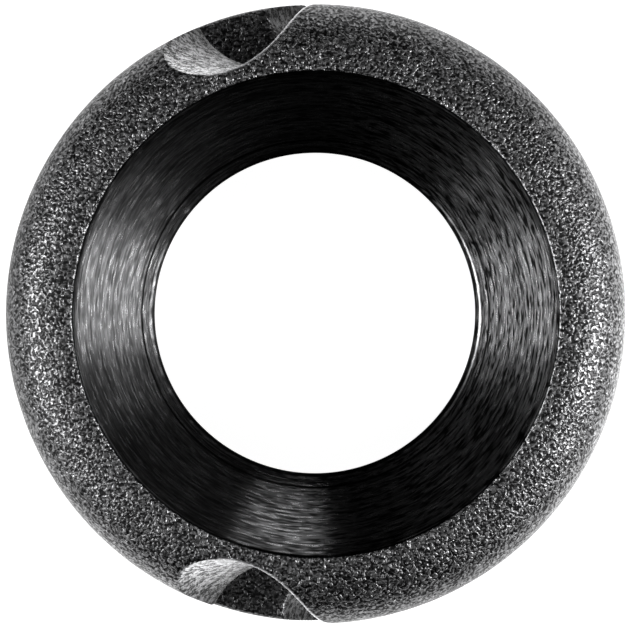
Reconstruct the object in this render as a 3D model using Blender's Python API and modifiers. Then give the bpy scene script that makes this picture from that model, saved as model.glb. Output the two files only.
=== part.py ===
"""Bowstring peep sight: a waisted aluminium housing, a screw-in hooded aperture and its O-ring.

Metres, +Z up. The sight's bore is the Z axis, the rear face lies on z = 0 and the hooded front
faces +Z. Run with: blender --background --python part.py
"""

import math

import bmesh
import bpy

MM = 0.001
STEPS = 48  # straight sides of every turned surface

# Housing
LENGTH = 5.56 * MM  # rear face to front rim
RIM_R = 6.12 * MM  # outer radius of both flanges
WAIST_R = 4.85 * MM  # floor of the waist that the tie-in serving fills
FLANGE = 1.87 * MM  # thickness of each flange
MOUTH_R = 4.815 * MM  # counterbore that takes the hood, and where the rounded shoulder starts
SHOULDER_DROP = 0.965 * MM  # how far the shoulder falls on its way out to the rim
SHOULDER_POWER = 1.9  # 2 would be a true quarter ellipse
EDGE = 0.12 * MM  # edge break on the waist side of each flange
FILLET = 0.25 * MM  # corner at the waist's floor
FLOOR_Z = 3.92 * MM  # floor of the counterbore
REAR_BORE_R = 4.25 * MM  # mouth of the flared rear bore
BREAK = 0.04 * MM  # edge break on thin edges

# String grooves: one on each side, slanting from the front at -X to the rear at +X
GROOVE_R = 1.19 * MM
GROOVE_Y = 6.08 * MM  # from the bore's axis to the groove's, at the middle of the waist
GROOVE_SLANT = math.radians(37)
GROOVE_ARC_R = 53 * MM  # the strands close in again away from the waist

# Thread between the housing and the aperture, 8 mm fine
PITCH = 0.5 * MM
THREAD_MINOR_R = 3.65 * MM
THREAD_DEPTH = 0.27 * MM
THREAD_GAP = 0.06 * MM
CREST_FLAT = 0.125  # share of the pitch
ROOT_FLAT = 0.25
ROWS_PER_PITCH = 6
HOUSING_THREAD = (1.30 * MM, 3.80 * MM)  # lowest and highest z
APERTURE_THREAD = (1.50 * MM, 3.70 * MM)

# Aperture
HOOD_R = 4.79 * MM
TOP_Z = LENGTH - 0.02 * MM
HOOD_BREAK = 0.02 * MM
HOOD_BASE_Z = 3.96 * MM
NECK_R = 3.99 * MM
GLAND_R = 4.58 * MM  # outer wall of the O-ring's gland
GLAND_Z = 4.47 * MM  # roof of the gland
SIGHT_R = 3.175 * MM  # a quarter-inch sight hole
CONE_END_R = 3.44 * MM  # where the cone meets the ring groove
LIP_R = 3.22 * MM
RING_GROOVE = 0.05 * MM
REAR_END_Z = 1.30 * MM
REAR_END_R = 3.40 * MM
LAND_LOW_Z = 2.10 * MM
KEY_WIDTH = 0.9 * MM
KEY_DEPTH = 0.45 * MM

# O-ring
RING_SECTION = 0.5 * MM
RING_CENTRE_R = 4.285 * MM
RING_Z = 4.195 * MM


def clear_scene():
    for obj in list(bpy.data.objects):
        bpy.data.objects.remove(obj, do_unlink=True)


def new_collection(name):
    collection = bpy.data.collections.new(name)
    bpy.context.scene.collection.children.link(collection)
    return collection


def new_material(name, colour, roughness, metallic):
    material = bpy.data.materials.new(name)
    material.use_nodes = True
    shader = material.node_tree.nodes["Principled BSDF"]
    shader.inputs["Base Color"].default_value = (*colour, 1)
    shader.inputs["Roughness"].default_value = roughness
    shader.inputs["Metallic"].default_value = metallic
    material.diffuse_color = (*colour, 1)
    return material


def add_object(name, mesh, collection, material=None):
    obj = bpy.data.objects.new(name, mesh)
    collection.objects.link(obj)
    if material:
        mesh.materials.append(material)
    return obj


def evaluated_mesh(obj, weld=1e-7):
    """The object's mesh with its modifiers applied and coincident points joined."""
    bpy.context.view_layer.update()
    graph = bpy.context.evaluated_depsgraph_get()
    mesh = bpy.data.meshes.new_from_object(obj.evaluated_get(graph))
    shape = bmesh.new()
    shape.from_mesh(mesh)
    bmesh.ops.remove_doubles(shape, verts=shape.verts, dist=weld)
    shape.to_mesh(mesh)
    shape.free()
    return mesh


def turned_mesh(name, profile, collection):
    """A closed (radius, z) outline turned about Z. Its outer side is listed from the top down."""
    outline = bpy.data.meshes.new(name + "_outline")
    points = [(r, 0, z) for r, z in profile]
    edges = [(i, (i + 1) % len(points)) for i in range(len(points))]
    outline.from_pydata(points, edges, [])
    obj = add_object(name + "_outline", outline, collection)
    screw = obj.modifiers.new("Turn", "SCREW")
    screw.axis = "Z"
    screw.steps = screw.render_steps = STEPS
    screw.use_merge_vertices = True
    screw.merge_threshold = 1e-7
    mesh = evaluated_mesh(obj)
    bpy.data.objects.remove(obj)
    mesh.name = name
    return mesh


def shade(mesh):
    mesh.shade_smooth()
    mesh.set_sharp_from_angle(angle=math.radians(30))


def arc(centre, radius, start, end, count):
    """Points of a circular arc in the (radius, z) plane, ends included, angles in degrees."""
    angles = [math.radians(start + (end - start) * i / count) for i in range(count + 1)]
    return [(centre[0] + radius * math.cos(a), centre[1] + radius * math.sin(a)) for a in angles]


def shoulder(count=9):
    """The rounded shoulder as (radius, drop below the face) points, from the mouth to the rim."""
    points = []
    for i in range(count + 1):
        a = math.pi / 2 * i / count
        across = math.sin(a) ** (2 / SHOULDER_POWER)
        along = 1 - math.cos(a) ** (2 / SHOULDER_POWER)
        points.append((MOUTH_R + (RIM_R - MOUTH_R) * across, SHOULDER_DROP * along))
    return points


def thread_rows(span):
    """Evenly spaced heights over a threaded span, from its low end to its high end."""
    low, high = span
    count = round((high - low) / PITCH * ROWS_PER_PITCH)
    return [low + (high - low) * i / count for i in range(count + 1)]


def thread_height(angle, z):
    """Height of the right-handed thread form here, from 0 at its root to 1 at its crest."""
    phase = (z / PITCH - angle / math.tau) % 1
    from_crest = abs(2 * phase - 1)
    ramp = (1 - ROOT_FLAT - from_crest) / (1 - ROOT_FLAT - CREST_FLAT)
    return min(1, max(0, ramp))


def fade(z, span):
    """1 along the thread, running out to 0 over half a turn at each end."""
    return max(0, min(1, (z - span[0]) * 2 / PITCH, (span[1] - z) * 2 / PITCH))


def form_thread(mesh, plain_r, span, radius_at):
    """Moves the points of the plain cylinder of radius plain_r within span to radius_at(angle, z)."""
    slack = 1e-6
    for vertex in mesh.vertices:
        x, y, z = vertex.co
        r = math.hypot(x, y)
        if abs(r - plain_r) > slack or not span[0] - slack < z < span[1] + slack:
            continue
        scale = radius_at(math.atan2(y, x), z) / r
        vertex.co = (x * scale, y * scale, z)


def cut(obj, cutter, name):
    cutter.hide_render = True
    cutter.display_type = "WIRE"
    boolean = obj.modifiers.new(name, "BOOLEAN")
    boolean.operation = "DIFFERENCE"
    boolean.solver = "EXACT"
    boolean.object = cutter


def groove_cutter(side, collection):
    """A round bar along one string groove: side is 1 for +Y and -1 for -Y."""
    reach, count = 6 * MM, 12
    curve = bpy.data.curves.new("groove_path", "CURVE")
    curve.dimensions = "3D"
    curve.bevel_depth = GROOVE_R
    curve.bevel_resolution = 10
    curve.use_fill_caps = True
    spline = curve.splines.new("POLY")
    spline.points.add(count)
    for i, point in enumerate(spline.points):
        s = reach * (2 * i / count - 1)
        inward = GROOVE_ARC_R - math.sqrt(GROOVE_ARC_R**2 - s**2)
        x = s * math.sin(GROOVE_SLANT)
        z = LENGTH / 2 - s * math.cos(GROOVE_SLANT)
        point.co = (x, side * (GROOVE_Y - inward), z, 1)
    path = bpy.data.objects.new("groove_path", curve)
    collection.objects.link(path)
    mesh = evaluated_mesh(path)
    bpy.data.objects.remove(path)
    return add_object("string_groove_left" if side > 0 else "string_groove_right", mesh, collection)


def make_housing(parts, cutters, material):
    """Two round-shouldered flanges with a waist between them, alike at both ends outside."""
    front = [(r, LENGTH - drop) for r, drop in shoulder()]
    front += arc((RIM_R - EDGE, LENGTH - FLANGE + EDGE), EDGE, 0, -90, 3)
    front += arc((WAIST_R + FILLET, LENGTH - FLANGE - FILLET), FILLET, 90, 180, 4)
    rear = [(r, LENGTH - z) for r, z in reversed(front)]
    open_r = THREAD_MINOR_R + THREAD_DEPTH + THREAD_GAP
    bore = [(REAR_BORE_R + BREAK, 0), (REAR_BORE_R, BREAK)]
    bore += [(open_r, z) for z in thread_rows(HOUSING_THREAD)]
    bore += [(open_r, FLOOR_Z), (MOUTH_R, FLOOR_Z)]
    mesh = turned_mesh("housing", front + rear + bore, parts)

    def wall(angle, z):
        open_share = (1 - thread_height(angle, z)) * fade(z, HOUSING_THREAD)
        return open_r - THREAD_DEPTH * open_share

    form_thread(mesh, open_r, HOUSING_THREAD, wall)
    housing = add_object("housing", mesh, parts, material)
    for side in (1, -1):
        cut(housing, groove_cutter(side, cutters), "String groove")
    shade(mesh)
    return housing


def make_aperture(parts, cutters, material):
    """The screw-in ring: a 45-degree hood, a sight hole, and a thread with two key slots behind."""
    crest_r = THREAD_MINOR_R
    outer = [(HOOD_R - HOOD_BREAK, TOP_Z), (HOOD_R, TOP_Z - HOOD_BREAK), (HOOD_R, HOOD_BASE_Z)]
    outer += [(GLAND_R, HOOD_BASE_Z), (GLAND_R, GLAND_Z), (NECK_R, GLAND_Z)]
    outer += [(NECK_R, HOOD_BASE_Z + BREAK)]
    outer += [(crest_r, z) for z in reversed(thread_rows(APERTURE_THREAD))]
    outer += [(crest_r - BREAK, REAR_END_Z)]
    cone_end_z = TOP_Z - (HOOD_R - 2 * HOOD_BREAK - CONE_END_R)
    lip_z = cone_end_z - (CONE_END_R - LIP_R) - RING_GROOVE
    inner = [(REAR_END_R, REAR_END_Z), (SIGHT_R, LAND_LOW_Z), (SIGHT_R, lip_z - (LIP_R - SIGHT_R))]
    inner += [(LIP_R, lip_z), (CONE_END_R - RING_GROOVE, cone_end_z - RING_GROOVE * 2)]
    inner += [(CONE_END_R + RING_GROOVE / 2, cone_end_z - RING_GROOVE), (CONE_END_R, cone_end_z)]
    inner += [(HOOD_R - 2 * HOOD_BREAK, TOP_Z)]
    mesh = turned_mesh("aperture_insert", outer + inner, parts)

    def ridge(angle, z):
        return THREAD_MINOR_R + THREAD_DEPTH * thread_height(angle, z) * fade(z, APERTURE_THREAD)

    form_thread(mesh, crest_r, APERTURE_THREAD, ridge)
    aperture = add_object("aperture_insert", mesh, parts, material)

    shape = bmesh.new()
    bmesh.ops.create_cube(shape, size=1)
    bmesh.ops.scale(shape, vec=(3 * HOOD_R, KEY_WIDTH, 2 * KEY_DEPTH), verts=shape.verts)
    bar = bpy.data.meshes.new("key_slots")
    shape.to_mesh(bar)
    shape.free()
    slots = add_object("key_slots", bar, cutters)
    slots.location.z = REAR_END_Z
    cut(aperture, slots, "Key slots")
    shade(mesh)
    return aperture


def make_o_ring(parts, material):
    """The O-ring squeezed under the hood, which keeps the aperture from backing out."""
    bpy.ops.mesh.primitive_torus_add(
        major_radius=RING_CENTRE_R,
        minor_radius=RING_SECTION / 2,
        major_segments=STEPS,
        minor_segments=12,
        location=(0, 0, RING_Z),
    )
    ring = bpy.context.object
    ring.name = "retaining_o_ring"
    for collection in list(ring.users_collection):
        collection.objects.unlink(ring)
    parts.objects.link(ring)
    ring.data.materials.append(material)
    ring.data.shade_smooth()
    return ring


def main():
    clear_scene()
    parts = new_collection("peep_sight")
    cutters = new_collection("cutters")
    blasted = new_material("blasted_black_anodise", (0.035, 0.035, 0.038), 0.55, 0.8)
    turned = new_material("turned_black_anodise", (0.012, 0.012, 0.014), 0.32, 0.8)
    rubber = new_material("black_rubber", (0.02, 0.02, 0.02), 0.8, 0)
    make_housing(parts, cutters, blasted)
    make_aperture(parts, cutters, turned)
    make_o_ring(parts, rubber)


main()
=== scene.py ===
"""Looks of the bowstring peep sight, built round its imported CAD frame. Metres, +Z along the bore."""

import math

import bmesh
import bpy
import numpy as np
from mathutils import Matrix, Vector, noise


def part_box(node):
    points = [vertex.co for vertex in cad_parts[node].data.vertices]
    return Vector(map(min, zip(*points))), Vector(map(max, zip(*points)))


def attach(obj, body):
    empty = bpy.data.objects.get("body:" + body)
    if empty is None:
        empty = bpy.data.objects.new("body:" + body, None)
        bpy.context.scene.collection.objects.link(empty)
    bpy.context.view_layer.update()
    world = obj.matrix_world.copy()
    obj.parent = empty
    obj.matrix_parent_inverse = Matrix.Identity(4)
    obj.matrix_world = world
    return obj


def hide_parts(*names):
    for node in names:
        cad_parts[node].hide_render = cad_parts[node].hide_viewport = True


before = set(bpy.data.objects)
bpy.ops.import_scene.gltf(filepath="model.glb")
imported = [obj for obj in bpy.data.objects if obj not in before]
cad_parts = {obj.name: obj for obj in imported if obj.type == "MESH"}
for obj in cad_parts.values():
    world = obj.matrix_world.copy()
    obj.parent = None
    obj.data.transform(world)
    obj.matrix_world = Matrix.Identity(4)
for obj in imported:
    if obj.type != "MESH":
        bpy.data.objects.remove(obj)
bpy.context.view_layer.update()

MM = 0.001

# From the frame
housing_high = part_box("housing")[1]
aperture_low, aperture_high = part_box("aperture_insert")
LENGTH = housing_high.z
MIDDLE_Z = LENGTH / 2
RIM_R = housing_high.x - 0.004 * MM  # a little within the design's widest point
TOP_Z = aperture_high.z
HOOD_R = aperture_high.x
REAR_END_Z = aperture_low.z

# Housing, as designed
WAIST_R = 4.85 * MM
FLANGE = 1.87 * MM
MOUTH_R = 4.802 * MM  # closed up on the hood: the design leaves a hair more
MOUTH_BREAK = 0.022 * MM  # chamfer between the mouth and the shoulder
MOUTH_EDGE_R = MOUTH_R + MOUTH_BREAK
SHOULDER_DROP = 0.965 * MM  # from the face down to where the rim is widest
SHOULDER_POWER = 1.9  # of its superellipse: 2 would be an ellipse
EDGE = 0.12 * MM  # rounding between a rim and its flange's inner face
FILLET = 0.25 * MM  # between the waist and the flanges
FLOOR_Z = 3.92 * MM  # of the seat that takes the aperture's hood
GUARD = 0.03 * MM  # from the seat's corners to the rings that keep them crisp
REAR_BORE_R = 4.25 * MM
BREAK = 0.04 * MM  # chamfers on the rear bore, the neck and the thread's end

# String grooves
GROOVE_R = 1.19 * MM
GROOVE_Y = 6.08 * MM  # from the bore's axis out to the groove's, at mid length
GROOVE_SLANT = math.radians(37)  # from the bore's direction
GROOVE_ARC_R = 53 * MM  # the grooves curve gently inwards towards both faces

# Thread
PITCH = 0.5 * MM
THREAD_MINOR_R = 3.65 * MM
THREAD_DEPTH = 0.27 * MM
THREAD_GAP = 0.06 * MM
CREST_FLAT = 0.125  # share of the pitch
ROOT_FLAT = 0.25
HOUSING_THREAD = (1.30 * MM, 3.80 * MM)  # lowest and highest z
APERTURE_THREAD = (1.50 * MM, 3.70 * MM)

# Aperture
HOOD_BREAK = 0.02 * MM
HOOD_BASE_Z = 3.96 * MM
NECK_R = 3.99 * MM  # the O-ring's gland lies between the neck and GLAND_R
GLAND_R = 4.58 * MM
GLAND_Z = 4.47 * MM  # roof of the gland
SIGHT_R = 3.175 * MM
CONE_END_R = 3.44 * MM
LIP_R = 3.22 * MM
LIP_FLAT = 0.06 * MM
RING_GROOVE = 0.05 * MM  # size of the fine groove at the cone's small end
REAR_END_R = 3.40 * MM
LAND_LOW_Z = 2.10 * MM  # where the sight hole starts to flare out to the rear
KEY_WIDTH = 0.9 * MM
KEY_DEPTH = 0.45 * MM

# Blasting
GRAIN_DEPTH = 0.008 * MM  # how far the skin is pitted inwards, at most
GRAIN_WAVES = ((7.5, 0.6), (3.1, 0.4))  # waves a millimetre, and their share of the depth
GRAIN_LEAD_IN = 0.06 * MM  # from the mouth's edge to the full depth
EASED_R = 0.05 * MM  # how far the edges are rounded

BLUE_TINT = 1.02  # the anodised black is barely blue

# Fineness of the meshes
SKIN = 0.075 * MM  # longest face along the blasted profile
STEPS = 448  # faces round the bore

# Stage
SHEET_Z = -0.01 * MM
BOARD_Z = -0.03 * MM
STAGE_REACH = 2.0  # from the middle to the sheet's sides, and the board's radius


# ---- camera -------------------------------------------------------------------------------------

def make_camera():
    """Looks down the bore from far off, a little off its axis, with the sight filling the view."""
    width = 12.3325 * MM
    distance = 0.575
    lean = Vector((-0.006, 0.008, 1)).normalized()
    roll = math.radians(1.48)
    aim = Vector((-0.062 * MM, 0.030 * MM, LENGTH - SHOULDER_DROP))
    data = bpy.data.cameras.new("camera")
    data.sensor_width = 36
    data.lens = data.sensor_width * distance / width
    data.clip_start, data.clip_end = 0.01, 10
    camera = bpy.data.objects.new("camera", data)
    bpy.context.scene.collection.objects.link(camera)
    up = Vector((math.sin(roll), math.cos(roll), 0))
    right = up.cross(lean).normalized()
    up = lean.cross(right)
    turn = Matrix((right, up, lean)).transposed()
    camera.matrix_world = Matrix.Translation(aim + lean * distance) @ turn.to_4x4()
    bpy.context.scene.camera = camera


# ---- meshes -------------------------------------------------------------------------------------

def arc(centre, radius, start, end, count):
    """Points of a circular arc in the (radius, z) plane, ends included, angles in degrees."""
    angles = [math.radians(start + (end - start) * i / count) for i in range(count + 1)]
    return [(centre[0] + radius * math.cos(a), centre[1] + radius * math.sin(a)) for a in angles]


def resample(points, spacing):
    """The polyline with points added so that none are further apart than spacing."""
    out = []
    for start, end in zip(points, points[1:]):
        count = max(1, math.ceil(math.dist(start, end) / spacing))
        for i in range(count):
            t = i / count
            out.append((start[0] + (end[0] - start[0]) * t, start[1] + (end[1] - start[1]) * t))
    return out + [points[-1]]


def shoulder(count=40):
    """The rounded shoulder as (radius, drop below the face) points, from the mouth to the rim."""
    points = [(MOUTH_R, MOUTH_BREAK)]
    for i in range(count + 1):
        a = math.pi / 2 * i / count
        across = math.sin(a) ** (2 / SHOULDER_POWER)
        along = 1 - math.cos(a) ** (2 / SHOULDER_POWER)
        points.append((MOUTH_EDGE_R + (RIM_R - MOUTH_EDGE_R) * across, SHOULDER_DROP * along))
    return points


def thread_rows(span, per_pitch):
    """Evenly spaced heights over the span, about per_pitch of them to a pitch."""
    low, high = span
    count = round((high - low) / PITCH * per_pitch)
    return [low + (high - low) * i / count for i in range(count + 1)]


def thread_height(angle, z):
    """Height of the right-handed thread form, from 0 at its root to 1 at its crest."""
    phase = (z / PITCH - angle / math.tau) % 1
    from_crest = abs(2 * phase - 1)
    ramp = (1 - ROOT_FLAT - from_crest) / (1 - ROOT_FLAT - CREST_FLAT)
    return min(1, max(0, ramp))


def fade(z, span):
    """1 along the span, falling to 0 over the half pitch at each end."""
    return max(0, min(1, (z - span[0]) * 2 / PITCH, (span[1] - z) * 2 / PITCH))


def lathe(name, profile, steps):
    """A closed (radius, z) outline turned about Z. Its outer side is listed from the top down."""
    profile = np.array(profile)
    rows = len(profile)
    angles = np.linspace(0, math.tau, steps, endpoint=False)
    points = np.empty((rows, steps, 3))
    points[..., 0] = profile[:, :1] * np.cos(angles)
    points[..., 1] = profile[:, :1] * np.sin(angles)
    points[..., 2] = profile[:, 1:]
    i, j = np.meshgrid(np.arange(rows), np.arange(steps), indexing="ij")
    i2, j2 = (i + 1) % rows, (j + 1) % steps
    faces = np.stack([i * steps + j, i2 * steps + j, i2 * steps + j2, i * steps + j2], -1)
    mesh = bpy.data.meshes.new(name)
    mesh.from_pydata(points.reshape(-1, 3), [], faces.reshape(-1, 4).tolist())
    return mesh


def form_thread(mesh, plain_r, span, radius_at):
    """Moves the points of the plain cylinder of radius plain_r within span to radius_at(angle, z)."""
    slack = 1e-7
    for vertex in mesh.vertices:
        x, y, z = vertex.co
        r = math.hypot(x, y)
        if abs(r - plain_r) > slack or not span[0] - slack < z < span[1] + slack:
            continue
        scale = radius_at(math.atan2(y, x), z) / r
        vertex.co = (x * scale, y * scale, z)


def add_piece(name, mesh):
    piece = bpy.data.objects.new(name, mesh)
    bpy.context.scene.collection.objects.link(piece)
    return piece


def cut(piece, cutters):
    """Cuts the cutters out of the piece, and removes them."""
    for cutter in cutters:
        boolean = piece.modifiers.new("Cut", "BOOLEAN")
        boolean.operation = "DIFFERENCE"
        boolean.solver = "EXACT"
        boolean.material_mode = "TRANSFER"
        boolean.object = cutter
    bpy.context.view_layer.update()
    graph = bpy.context.evaluated_depsgraph_get()
    mesh = bpy.data.meshes.new_from_object(piece.evaluated_get(graph))
    piece.modifiers.clear()
    piece.data = mesh
    for cutter in cutters:
        bpy.data.objects.remove(cutter)


def groove_bar(side, material):
    """A round bar along one string groove: side is 1 for +Y and -1 for -Y."""
    reach, rows, around = 6 * MM, 120, 160
    s = np.linspace(-reach, reach, rows)
    inward = GROOVE_ARC_R - np.sqrt(GROOVE_ARC_R**2 - s**2)
    centre = np.stack(
        [
            s * math.sin(GROOVE_SLANT),
            side * (GROOVE_Y - inward),
            MIDDLE_Z - s * math.cos(GROOVE_SLANT),
        ],
        -1,
    )
    across = np.array([math.cos(GROOVE_SLANT), 0, math.sin(GROOVE_SLANT)])
    outward = np.array([0, 1, 0])
    angles = np.linspace(0, math.tau, around, endpoint=False)
    ring = np.cos(angles)[:, None] * across + np.sin(angles)[:, None] * outward
    points = centre[:, None, :] + GROOVE_R * ring[None]
    faces = []
    for i in range(rows - 1):
        for j in range(around):
            k = (j + 1) % around
            faces.append((i * around + j, i * around + k, (i + 1) * around + k, (i + 1) * around + j))
    faces.append(tuple(reversed(range(around))))
    faces.append(tuple((rows - 1) * around + j for j in range(around)))
    mesh = bpy.data.meshes.new("groove_bar")
    mesh.from_pydata(points.reshape(-1, 3), [], faces)
    shape = bmesh.new()
    shape.from_mesh(mesh)
    bmesh.ops.recalc_face_normals(shape, faces=shape.faces)
    shape.to_mesh(mesh)
    shape.free()
    mesh.materials.append(material)
    return add_piece("groove_bar", mesh)


def soften_edges(mesh, angle, rounds):
    """Eases the edges sharper than angle, as blasting does."""
    merge = 0.006 * MM
    shape = bmesh.new()
    shape.from_mesh(mesh)
    bmesh.ops.remove_doubles(shape, verts=shape.verts, dist=merge)
    sharp = {
        vertex
        for edge in shape.edges
        if edge.is_manifold and edge.calc_face_angle(0) > angle
        for vertex in edge.verts
    }
    for _ in range(rounds):
        bmesh.ops.smooth_vert(
            shape, verts=list(sharp), factor=0.35, use_axis_x=True, use_axis_y=True, use_axis_z=True
        )
    shape.to_mesh(mesh)
    shape.free()


def grain(mesh):
    """Pits the blasted outside. What lies within the mouth's edge is turned, and stays smooth."""
    count = len(mesh.vertices)
    points = np.empty(count * 3)
    normals = np.empty(count * 3)
    mesh.vertices.foreach_get("co", points)
    mesh.vertices.foreach_get("normal", normals)
    points, normals = points.reshape(-1, 3), normals.reshape(-1, 3)
    radius = np.hypot(points[:, 0], points[:, 1])
    share = np.clip((radius - MOUTH_EDGE_R) / GRAIN_LEAD_IN, 0, 1)
    for i in np.flatnonzero(share):
        place = Vector(points[i]) / MM
        pit = sum(weight * noise.noise(place * waves) for waves, weight in GRAIN_WAVES)
        points[i] -= normals[i] * GRAIN_DEPTH * share[i] * (0.5 + 0.5 * pit)
    mesh.vertices.foreach_set("co", points.ravel())
    mesh.update()


def make_housing(turned):
    """The two flanges, the waist, the threaded bore and the string grooves."""
    front = [(r, LENGTH - drop) for r, drop in shoulder()]
    front += arc((RIM_R - EDGE, LENGTH - FLANGE + EDGE), EDGE, 0, -90, count=4)
    front += arc((WAIST_R + FILLET, LENGTH - FLANGE - FILLET), FILLET, 90, 180, count=5)
    rear = [(r, LENGTH - z) for r, z in reversed(front[1:])]
    outside = resample(front + rear, SKIN)
    open_r = THREAD_MINOR_R + THREAD_DEPTH + THREAD_GAP
    bore = [(REAR_BORE_R + BREAK, 0), (REAR_BORE_R, BREAK)]
    bore += [(open_r, z) for z in thread_rows(HOUSING_THREAD, per_pitch=8)]
    bore += [(open_r, FLOOR_Z), (open_r + GUARD, FLOOR_Z), (MOUTH_R - GUARD, FLOOR_Z)]
    bore += [(MOUTH_R, FLOOR_Z), (MOUTH_R, FLOOR_Z + GUARD), (MOUTH_R, LENGTH - 2 * MOUTH_BREAK)]
    mesh = lathe("housing_skin", outside + bore, STEPS)

    def wall(angle, z):
        open_share = (1 - thread_height(angle, z)) * fade(z, HOUSING_THREAD)
        return open_r - THREAD_DEPTH * open_share

    form_thread(mesh, open_r, HOUSING_THREAD, wall)
    piece = add_piece("housing_body", mesh)
    mesh.materials.append(blasted_material())
    mesh.materials.append(turned)
    is_bore = np.arange(len(mesh.polygons)) >= len(outside) * STEPS
    mesh.polygons.foreach_set("material_index", is_bore.astype(np.int32))
    walls = groove_material()
    cut(piece, [groove_bar(side, walls) for side in (1, -1)])
    soften_edges(piece.data, angle=math.radians(24), rounds=2)
    grain(piece.data)
    piece.data.shade_smooth()
    piece.data.set_sharp_from_angle(angle=math.radians(50))
    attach(piece, "housing")
    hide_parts("housing")


def make_aperture(turned):
    """The hood with its cone and gland, the land of the sight hole, the thread and the key slots."""
    outer = [(HOOD_R - HOOD_BREAK, TOP_Z), (HOOD_R, TOP_Z - HOOD_BREAK), (HOOD_R, HOOD_BASE_Z)]
    outer += [(GLAND_R, HOOD_BASE_Z), (GLAND_R, GLAND_Z), (NECK_R, GLAND_Z)]
    outer += [(NECK_R, HOOD_BASE_Z + BREAK)]
    thread = [(THREAD_MINOR_R, z) for z in reversed(thread_rows(APERTURE_THREAD, per_pitch=10))]
    cone_end_z = TOP_Z - (HOOD_R - 2 * HOOD_BREAK - CONE_END_R)
    lip_z = cone_end_z - (CONE_END_R - LIP_R) - RING_GROOVE
    inner = [(THREAD_MINOR_R - BREAK, REAR_END_Z), (REAR_END_R, REAR_END_Z), (SIGHT_R, LAND_LOW_Z)]
    inner += [(SIGHT_R, lip_z - (LIP_R - SIGHT_R)), (LIP_R, lip_z)]
    inner += [(LIP_R + LIP_FLAT, lip_z + LIP_FLAT / 2)]
    inner += [(CONE_END_R - RING_GROOVE, cone_end_z - RING_GROOVE * 2)]
    inner += [(CONE_END_R + RING_GROOVE / 2, cone_end_z - RING_GROOVE), (CONE_END_R, cone_end_z)]
    inner += [(HOOD_R - 2 * HOOD_BREAK, TOP_Z)]
    spacing = 0.1 * MM
    profile = resample(outer + thread[:1], spacing)[:-1] + thread
    profile += resample(inner + outer[:1], spacing)[:-1]
    mesh = lathe("aperture_skin", profile, STEPS)

    def ridge(angle, z):
        return THREAD_MINOR_R + THREAD_DEPTH * thread_height(angle, z) * fade(z, APERTURE_THREAD)

    form_thread(mesh, THREAD_MINOR_R, APERTURE_THREAD, ridge)
    piece = add_piece("aperture_ring", mesh)
    bar = bmesh.new()
    bmesh.ops.create_cube(bar, size=1)
    bmesh.ops.scale(bar, vec=(3 * HOOD_R, KEY_WIDTH, 2 * KEY_DEPTH), verts=bar.verts)
    bmesh.ops.translate(bar, vec=(0, 0, REAR_END_Z), verts=bar.verts)
    slots = bpy.data.meshes.new("key_slots")
    bar.to_mesh(slots)
    bar.free()
    cut(piece, [add_piece("key_slots", slots)])
    piece.data.materials.clear()
    piece.data.materials.append(turned)
    piece.data.shade_smooth()
    piece.data.set_sharp_from_angle(angle=math.radians(28))
    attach(piece, "aperture")
    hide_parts("aperture_insert")


def dress_o_ring():
    """The O-ring is the frame's own piece, with a rubber look."""
    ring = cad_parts["retaining_o_ring"]
    ring.data.materials.clear()
    ring.data.materials.append(rubber_material())


# ---- materials ----------------------------------------------------------------------------------

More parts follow.
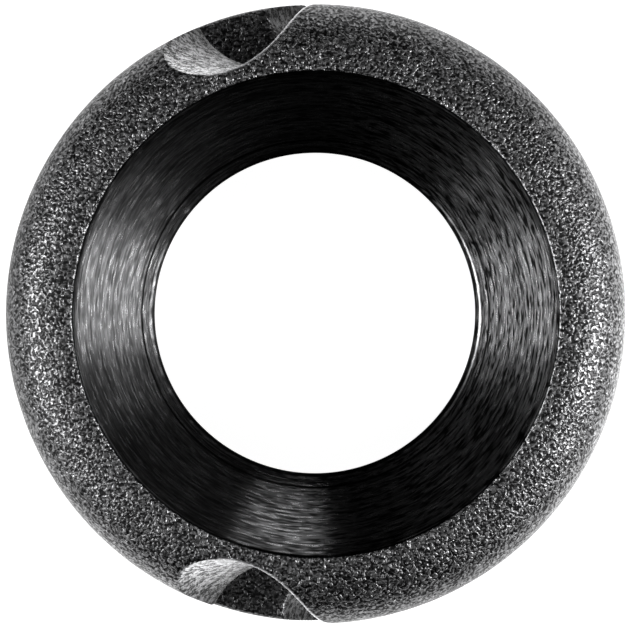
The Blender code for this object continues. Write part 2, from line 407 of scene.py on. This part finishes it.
class Nodes:
    """A material's node tree, with short calls to add and link nodes.

    Points and lengths in it are in millimetres, but a bump's distance and a bevel's radius are in
    metres.
    """

    def __init__(self, name):
        self.material = bpy.data.materials.new(name)
        self.material.use_nodes = True
        self.tree = self.material.node_tree
        self.shader = self.tree.nodes["Principled BSDF"]

    def add(self, kind, inputs=None, **settings):
        node = self.tree.nodes.new(kind)
        for key, value in settings.items():
            setattr(node, key, value)
        for key, value in (inputs or {}).items():
            self.put(node.inputs[key], value)
        return node

    def put(self, socket, value):
        if isinstance(value, bpy.types.NodeSocket):
            self.tree.links.new(value, socket)
        else:
            socket.default_value = value

    def math(self, operation, a, b=0.0):
        return self.add("ShaderNodeMath", {0: a, 1: b}, operation=operation).outputs[0]

    def times(self, a, b):
        return self.math("MULTIPLY", a, b)

    def plus(self, a, b):
        return self.math("ADD", a, b)

    def minus(self, a, b):
        return self.math("SUBTRACT", a, b)

    def away(self, value, middle):
        """How far the value is from the middle, either way."""
        return self.math("ABSOLUTE", self.minus(value, middle))

    def vector(self, operation, a, b=None):
        inputs = {0: a} if b is None else {0: a, 1: b}
        return self.add("ShaderNodeVectorMath", inputs, operation=operation).outputs[0]

    def axis(self, vector, name):
        return self.add("ShaderNodeSeparateXYZ", {0: vector}).outputs[name]

    def millimetres(self):
        """The surface point in the row frame."""
        place = self.add("ShaderNodeTexCoord").outputs["Object"]
        return self.vector("MULTIPLY", place, (1000, 1000, 1000))

    def radius(self, place):
        """The point's distance from the bore's axis."""
        flat = self.vector("MULTIPLY", place, (1, 1, 0))
        return self.add("ShaderNodeVectorMath", {0: flat}, operation="LENGTH").outputs["Value"]

    def heading(self, place):
        """The unit vector from the bore's axis towards the point."""
        return self.vector("NORMALIZE", self.vector("MULTIPLY", place, (1, 1, 0)))

    def level(self, place):
        """The point's height above the middle of the sight."""
        return self.minus(self.axis(place, "Z"), MIDDLE_Z / MM)

    def noise(self, place, scale, detail=2.0, rough=0.5):
        inputs = {"Vector": place, "Scale": scale, "Detail": detail, "Roughness": rough}
        return self.add("ShaderNodeTexNoise", inputs).outputs["Fac"]

    def ramp(self, value, low, high, out_low, out_high):
        """Runs from out_low at low to out_high at high, and stays level beyond both."""
        inputs = {"From Min": low, "From Max": high, "To Min": out_low, "To Max": out_high}
        return self.add("ShaderNodeMapRange", {"Value": value, **inputs}).outputs["Result"]

    def bump(self, height, distance, normal=None):
        inputs = {"Height": height, "Distance": distance, "Strength": 1.0}
        if normal:
            inputs["Normal"] = normal
        return self.add("ShaderNodeBump", inputs).outputs["Normal"]

    def eased_edges(self):
        """Normals that turn over each edge as if it were slightly rounded."""
        return self.add("ShaderNodeBevel", {"Radius": EASED_R}, samples=6).outputs["Normal"]

    def black(self, shade):
        """The shade as the anodising's colour."""
        channels = {0: shade, 1: shade, 2: self.times(shade, BLUE_TINT)}
        return self.add("ShaderNodeCombineColor", channels).outputs[0]

    def surface(self, **inputs):
        for key, value in inputs.items():
            self.put(self.shader.inputs[key.replace("_", " ")], value)


def groove_distance(m, place):
    """A point's distance from the nearer string groove's axis, and 1 beside its thin edges."""
    cos, sin = math.cos(GROOVE_SLANT), math.sin(GROOVE_SLANT)
    x, y, z = m.axis(place, "X"), m.axis(place, "Y"), m.level(place)
    across = m.plus(m.times(x, cos), m.times(z, sin))
    along = m.minus(m.times(x, sin), m.times(z, cos))
    bend = m.times(m.times(along, along), 0.5 * MM / GROOVE_ARC_R)
    out = m.minus(m.math("ABSOLUTE", y), m.minus(GROOVE_Y / MM, bend))
    square = m.plus(m.times(across, across), m.times(out, out))
    inner_face = (MIDDLE_Z - FLANGE + EDGE) / MM
    overhung = m.math("GREATER_THAN", m.times(across, z), 0.0)
    on_flange = m.math("GREATER_THAN", m.math("ABSOLUTE", z), inner_face)
    return m.math("SQRT", square), m.times(overhung, on_flange)


def mouth_edge_highlight(m, place):
    """1 where a painted highlight lies on the mouth's edge: broken stretches, nearly all of them
    towards +X, the side of the strongest softbox.
    """
    mouth_low = LENGTH / MM - 0.1  # below the mouth's edge, and above the seat
    inside = m.math("LESS_THAN", m.radius(place), MOUTH_EDGE_R / MM)
    on_edge = m.times(inside, m.math("GREATER_THAN", m.axis(place, "Z"), mouth_low))
    broken = m.ramp(m.noise(place, 9.0), 0.42, 0.56, 0.0, 1.0)
    side = m.ramp(m.axis(m.heading(place), "X"), 0.5, 0.95, 0.08, 1.0)
    return m.times(m.times(on_edge, broken), side)


def bead_marks(m, place):
    """The height of the blasted skin: round beads' marks, each its own strength, and ripples."""
    warp = m.add("ShaderNodeTexNoise", {"Vector": place, "Scale": 9.0, "Detail": 1.0})
    bent = m.vector("ADD", place, m.vector("MULTIPLY", warp.outputs["Color"], (0.1, 0.1, 0.1)))
    beads = m.add("ShaderNodeTexVoronoi", {"Vector": bent, "Scale": 12.5}, feature="F1")
    strength = m.add("ShaderNodeSeparateColor", {0: beads.outputs["Color"]}).outputs[0]
    dome = m.ramp(beads.outputs["Distance"], 0.1, 0.62, 1.0, 0.0)
    dome = m.times(dome, m.ramp(strength, 0.0, 1.0, 0.5, 1.0))
    ripple = m.ramp(m.noise(bent, 17.0, 0.0), 0.36, 0.64, 0.0, 1.0)
    return m.plus(m.times(dome, 0.5), m.times(ripple, 0.6))


def blasted_material():
    """Black anodised aluminium, bead-blasted: a tight grain of shiny dimples."""
    m = Nodes("blasted_black_anodise")
    place = m.millimetres()
    height = bead_marks(m, place)

    # The grain's peaks shine. They vary by patches, are darkened towards the waist as painted shade,
    # and are brightest beside the mouth's edge as a painted highlight.
    patches = m.ramp(m.noise(place, 1.3, 3.0), 0.3, 0.7, 0.23, 0.33)
    peak = m.times(m.math("POWER", height, 1.5), patches)
    waist = (MIDDLE_Z - FLANGE) / MM
    # Painted shade: the peaks darken towards the waist, in the front flange's shadow. The same ramp
    # makes the grain shallower there.
    waist_shade_and_depth = m.ramp(m.math("ABSOLUTE", m.level(place)), waist, waist + 0.3, 0.5, 1.0)
    peak = m.times(peak, waist_shade_and_depth)
    # Painted highlight: the peaks are half again as bright within 0.12 mm of the mouth's edge.
    off_edge = m.away(m.radius(place), MOUTH_EDGE_R / MM)
    peak = m.times(peak, m.ramp(off_edge, 0.0, 0.12, 1.5, 1.0))
    shade = m.plus(peak, 0.018)

    # The grooves' thin edges are worn bright and also carry a painted highlight; the mouth's edge
    # carries a painted highlight, mostly towards +X.
    distance, overhung = groove_distance(m, place)
    thin_edge_wear_and_highlight = m.ramp(m.away(distance, GROOVE_R / MM), 0.01, 0.05, 1.0, 0.0)
    thin_edge_wear_and_highlight = m.times(thin_edge_wear_and_highlight, overhung)
    shade = m.plus(shade, m.times(thin_edge_wear_and_highlight, 0.8))
    # Painted highlight on the mouth's edge, mostly towards +X; it is also made less metallic.
    mouth_highlight = mouth_edge_highlight(m, place)
    shade = m.plus(shade, m.times(mouth_highlight, 0.6))
    worn_and_highlit_edges = m.math("MAXIMUM", thin_edge_wear_and_highlight, mouth_highlight)

    # The grain is flat on the worn and highlighted edges, and shallower in the waist.
    height = m.times(height, m.minus(1.0, worn_and_highlit_edges))
    height = m.times(height, m.math("SQRT", waist_shade_and_depth))
    rough = m.ramp(m.noise(place, 24.0, 1.0), 0.3, 0.7, 0.24, 0.36)
    m.surface(
        Base_Color=m.black(shade),
        Roughness=m.plus(rough, m.times(worn_and_highlit_edges, 0.22)),
        Metallic=m.minus(1.0, m.times(mouth_highlight, 0.7)),
        Normal=m.bump(height, 0.0165 * MM, m.eased_edges()),
    )
    return m.material


def groove_material():
    """The grooves' walls: fine tool marks round the groove, with a painted highlight towards the mouth
    and painted shade towards the rim, the waist and the rear.
    """
    m = Nodes("groove_black_anodise")
    place = m.millimetres()
    slant = {"Vector": place, "Angle": -GROOVE_SLANT}
    turned = m.add("ShaderNodeVectorRotate", slant, rotation_type="Y_AXIS").outputs[0]
    squeeze = (6, 6, 27)  # most along the groove, so the marks run round it
    lines = m.noise(m.vector("MULTIPLY", turned, squeeze), 1.0, 2.0, 0.6)
    fine = m.noise(place, 24.0, 1.0)
    streaks = m.plus(m.times(lines, 0.65), m.times(fine, 0.35))
    shade = m.ramp(streaks, 0.44, 0.59, 0.06, 1.1)
    # Painted light: brighter towards the mouth, and painted shade towards the rim.
    shade = m.times(shade, m.ramp(m.radius(place), 5.0, 6.0, 1.25, 0.36))
    # Painted shade: darker towards the waist and over the rear flange, where the front flange shades
    # the grooves.
    waist = (MIDDLE_Z - FLANGE) / MM
    top = MIDDLE_Z / MM - 0.4
    shade = m.times(shade, m.ramp(m.level(place), waist, top, 0.16, 1.0))
    shade = m.math("MINIMUM", shade, 0.95)
    m.surface(
        Base_Color=m.black(shade),
        Roughness=m.ramp(fine, 0.3, 0.7, 0.26, 0.36),
        Metallic=1.0,
        Normal=m.bump(streaks, 0.03 * MM, m.eased_edges()),
    )
    return m.material


def turning_marks(m, place, around, fineness, detail):
    """Streaks along the turning: around is how often they break, fineness how many a mm."""
    level = m.times(m.axis(place, "Z"), fineness)
    lift = m.add("ShaderNodeCombineXYZ", {"Z": level}).outputs[0]
    spot = m.vector("ADD", m.vector("MULTIPLY", m.heading(place), (around, around, 0)), lift)
    return m.noise(spot, 1.0, detail, 0.6)


def turned_material():
    """Black anodised aluminium straight off the lathe: fine broken rings that stretch highlights."""
    m = Nodes("turned_black_anodise")
    place = m.millimetres()
    radius = m.radius(place)
    toward_x = m.axis(m.heading(place), "X")

    dashes = turning_marks(m, place, 12.0, 28.0, 1.5)
    scores = turning_marks(m, place, 4.5, 26.0, 2.0)
    bands = turning_marks(m, place, 0.9, 11.0, 2.0)
    streaks = m.plus(m.times(scores, 0.5), m.times(bands, 0.5))
    shade = m.ramp(streaks, 0.42, 0.58, 0.057, 0.145)
    # Painted light: the dark dashes are faint towards -X, so that side of the cone is left lighter.
    dash_floor_by_side_light = m.ramp(toward_x, -0.6, 0.3, 0.5, 0.06)  # the dashes are faint towards -X
    shade = m.times(shade, m.ramp(dashes, 0.40, 0.49, dash_floor_by_side_light, 1.0))
    shade = m.plus(shade, m.ramp(dashes, 0.55, 0.66, 0.0, 0.15))

    # Painted shade: the ring groove, the strip where the lip starts, and the hood's outermost strip
    # are darkened.
    off_groove = m.away(radius, (CONE_END_R - RING_GROOVE / 4) / MM)
    shade = m.times(shade, m.ramp(off_groove, 0.01, 0.03, 0.05, 1.0))
    lip = LIP_R / MM
    shade = m.times(shade, m.ramp(radius, lip, lip + 0.015, 0.15, 1.0))
    hood = HOOD_R / MM
    shade = m.times(shade, m.ramp(radius, hood - 0.13, hood - 0.04, 1.0, 0.45))

    # Painted shade in a thin ring beside the lip, and a painted highlight on the lip towards +X.
    lip_middle = (LIP_R + LIP_FLAT / 2) / MM
    off_step = m.away(radius, lip_middle + 0.04)
    shade = m.times(shade, m.ramp(off_step, 0.005, 0.025, 0.4, 1.0))
    on_lip = m.ramp(m.away(radius, lip_middle), 0.006, 0.02, 1.0, 0.0)
    lip_highlight = m.times(on_lip, m.ramp(toward_x, 0.74, 0.92, 0.0, 1.0))
    shade = m.plus(shade, m.times(lip_highlight, 0.4))
    m.surface(
        Base_Color=m.black(shade),
        Roughness=m.ramp(dashes, 0.35, 0.60, 0.36, 0.27),
        Metallic=1.0,
        Anisotropic=0.93,
        Anisotropic_Rotation=0.25,
        Tangent=m.add("ShaderNodeTangent", direction_type="RADIAL", axis="Z").outputs[0],
        Normal=m.bump(dashes, 0.005 * MM),
    )
    return m.material


def rubber_material():
    """Matt black rubber."""
    m = Nodes("black_rubber")
    place = m.millimetres()
    m.surface(
        Base_Color=(0.015, 0.015, 0.015, 1),
        Roughness=m.ramp(m.noise(place, 6.0, 3.0), 0.3, 0.7, 0.55, 0.75),
        Normal=m.bump(m.noise(place, 20.0), 0.005 * MM),
    )
    return m.material


# ---- stage --------------------------------------------------------------------------------------

def sheet_material():
    """Plain white paper, lit evenly by its own glow."""
    m = Nodes("floor_sheet")
    m.surface(Base_Color=(0.3, 0.3, 0.3, 1), Roughness=1.0, Specular_IOR_Level=0.0)
    m.surface(Emission_Color=(1, 1, 1, 1), Emission_Strength=0.97)
    return m.material


def board_material():
    """A board that glows most to the right and to the lower left, and is shaded near the sight."""
    m = Nodes("floor_board")
    place = m.millimetres()
    heading = m.heading(place)
    glow = 0.5
    for azimuth, gain in ((-8, 2.2), (232, 0.7)):
        a = math.radians(azimuth)
        inputs = {0: heading, 1: (math.cos(a), math.sin(a), 0)}
        facing = m.add("ShaderNodeVectorMath", inputs, operation="DOT_PRODUCT").outputs["Value"]
        lobe = m.math("POWER", m.math("MAXIMUM", facing, 0.0), 4.0)
        glow = m.plus(glow, m.times(lobe, gain))
    rim = RIM_R / MM
    radius = m.radius(place)
    glow = m.times(glow, m.ramp(radius, 1.1 * rim, 1.35 * rim, 0.0, 1.0))
    glow = m.times(glow, m.ramp(radius, 2.5 * rim, 6 * rim, 1.0, 0.25))
    m.surface(Base_Color=(0.8, 0.8, 0.8, 1), Roughness=1.0, Specular_IOR_Level=0.0)
    m.surface(Emission_Color=(1, 1, 1, 1), Emission_Strength=glow)
    return m.material


def floor_sheet():
    """A flat square just under the sight."""
    corners = [(-1, -1), (1, -1), (1, 1), (-1, 1)]
    sheet = bpy.data.meshes.new("floor_sheet")
    points = [(x * STAGE_REACH, y * STAGE_REACH, SHEET_Z) for x, y in corners]
    sheet.from_pydata(points, [], [(0, 1, 2, 3)])
    sheet.materials.append(sheet_material())
    return sheet


def floor_board():
    """A flat ring under the sheet, open beneath the sight."""
    board = bpy.data.meshes.new("floor_board")
    shape = bmesh.new()
    around = 64
    turn = np.linspace(0, math.tau, around, endpoint=False)
    inner, outer = [
        [shape.verts.new((r * math.cos(a), r * math.sin(a), BOARD_Z)) for a in turn]
        for r in (RIM_R * 0.95, STAGE_REACH)
    ]
    for j in range(around):
        k = (j + 1) % around
        shape.faces.new((inner[j], outer[j], outer[k], inner[k]))
    shape.to_mesh(board)
    shape.free()
    board.materials.append(board_material())
    return board


def make_floor():
    """A white sheet that only the camera sees, over a glowing board that lights the sight."""
    for mesh, seen in ((floor_sheet(), True), (floor_board(), False)):
        floor = add_piece(mesh.name, mesh)
        floor.visible_camera = seen
        for path in ("diffuse", "glossy", "transmission", "shadow"):
            setattr(floor, "visible_" + path, not seen)


def add_lamp(name, azimuth, elevation, distance, width, height, radiance):
    """A softbox that faces the sight's middle. Azimuth 0 is +X and 90 is +Y."""
    a, e = math.radians(azimuth), math.radians(elevation)
    direction = Vector((math.cos(a) * math.cos(e), math.sin(a) * math.cos(e), math.sin(e)))
    data = bpy.data.lights.new(name, "AREA")
    data.shape = "RECTANGLE"
    data.size, data.size_y = width, height
    data.energy = radiance * math.pi * width * height
    lamp = bpy.data.objects.new(name, data)
    bpy.context.scene.collection.objects.link(lamp)
    lamp.location = direction * distance + Vector((0, 0, MIDDLE_Z))
    lamp.rotation_mode = "QUATERNION"
    lamp.rotation_quaternion = direction.to_track_quat("Z", "Y")
    lamp.visible_camera = False


def make_lights():
    """A softbox and a wide fill on the right and on the left, a low one behind, and six high up."""
    add_lamp("right_softbox", -8, 31, 0.3, 0.145, 0.09, 19.4)
    add_lamp("right_fill", -8, 31, 0.31, 0.36, 0.09, 2.3)
    add_lamp("left_softbox", 185, 32, 0.3, 0.15, 0.1, 12.4)
    add_lamp("left_fill", 190, 32, 0.31, 0.34, 0.1, 2.3)
    add_lamp("back_softbox", 79, 8, 0.3, 0.11, 0.05, 5.4)
    for azimuth in (40, 140, 220, 320):
        add_lamp(f"high_softbox_{azimuth}", azimuth, 58, 0.4, 0.2, 0.2, 0.7)
    for azimuth in (-8, 187):
        add_lamp(f"high_softbox_{azimuth}", azimuth, 66, 0.4, 0.2, 0.16, 0.7)


def make_world():
    """White to the camera, and no light on the sight."""
    world = bpy.data.worlds.new("studio")
    bpy.context.scene.world = world
    world.use_nodes = True
    world.node_tree.nodes["Background"].inputs["Color"].default_value = (1, 1, 1, 1)
    for path in ("diffuse", "glossy", "transmission", "scatter"):
        setattr(world.cycles_visibility, path, False)


make_camera()
bpy.context.scene.view_settings.view_transform = "Standard"
make_floor()
make_lights()
make_world()
turned_black = turned_material()
make_housing(turned_black)
make_aperture(turned_black)
dress_o_ring()
